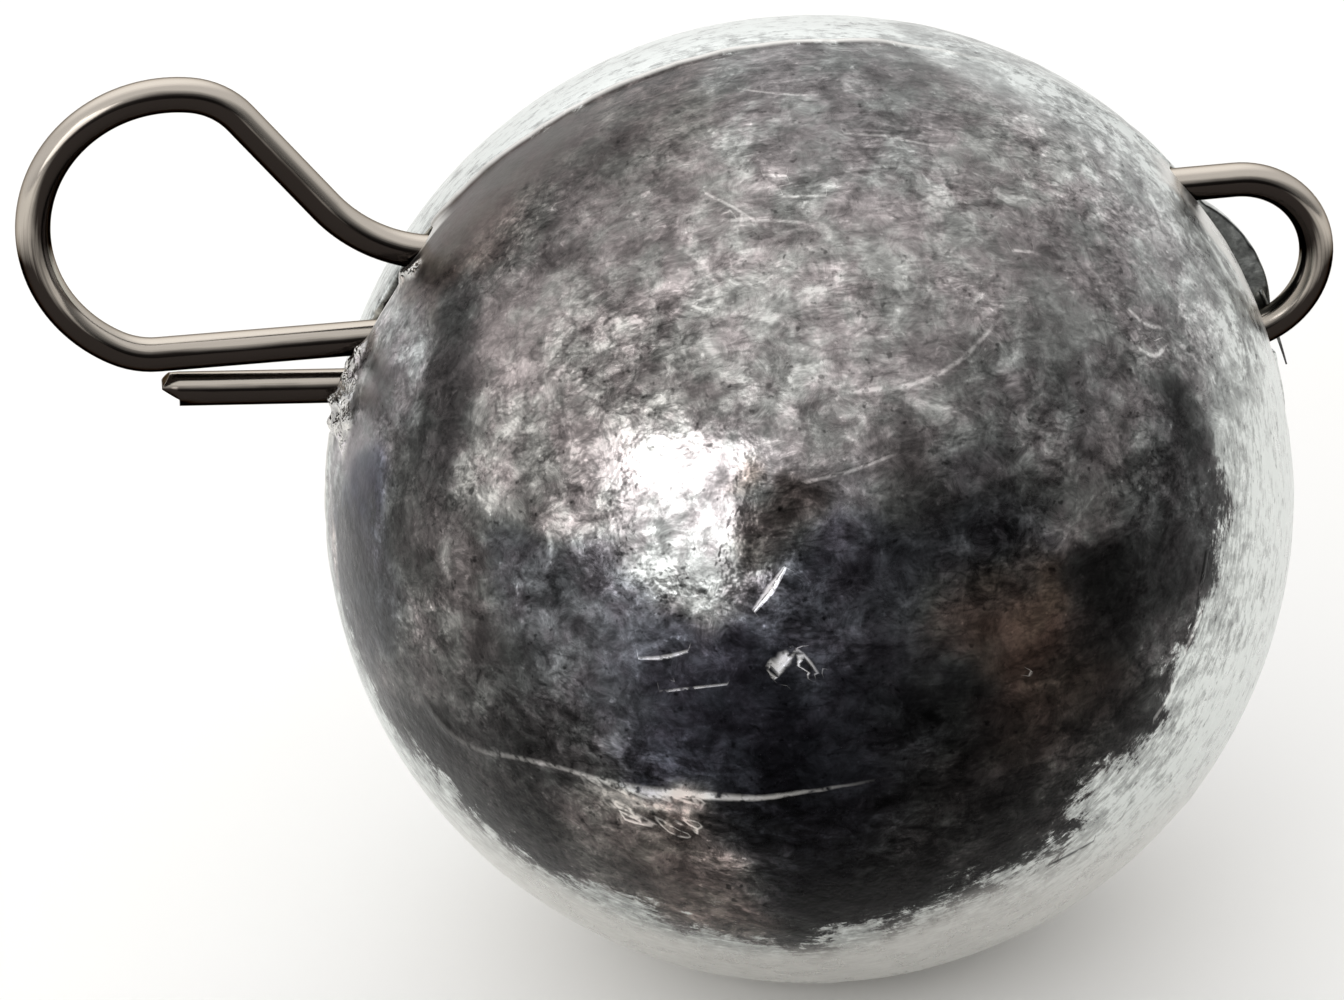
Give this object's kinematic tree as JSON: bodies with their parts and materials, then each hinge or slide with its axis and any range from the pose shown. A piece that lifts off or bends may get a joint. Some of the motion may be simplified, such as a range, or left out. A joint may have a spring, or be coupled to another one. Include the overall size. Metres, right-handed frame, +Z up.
{
  "type": "ball fishing sinker with removable wire clip",
  "caption": "Cast lead ball sinker with a slot through it and a removable spring-wire clip: a small line eye on one side, a hook loop on the other.",
  "frame": {"origin": "middle of the trimmed gate's flat under the ball, on which the sinker stands", "axes": "+X along the slot from the hook loop towards the line eye, +Y across the parting plane away from the viewer, +Z up"},
  "size_m": [0.0342, 0.0256, 0.0257],
  "materials": {
    "cast_lead": "bare cast lead, tarnished grey with a mottled patina, worn bright at the flash and the scratches",
    "spring_wire": "drawn spring-steel wire, dark nickel tone, smooth"
  },
  "bodies": {
    "ball": {"lead_ball": "cast_lead"},
    "clip": {"wire_clip": "spring_wire"}
  },
  "joints": [
    {"name": "clip_slide", "type": "slide", "parent": "ball", "child": "clip", "axis": [-1, 0, 0], "range_m": [0, 0.027]}
  ]
}
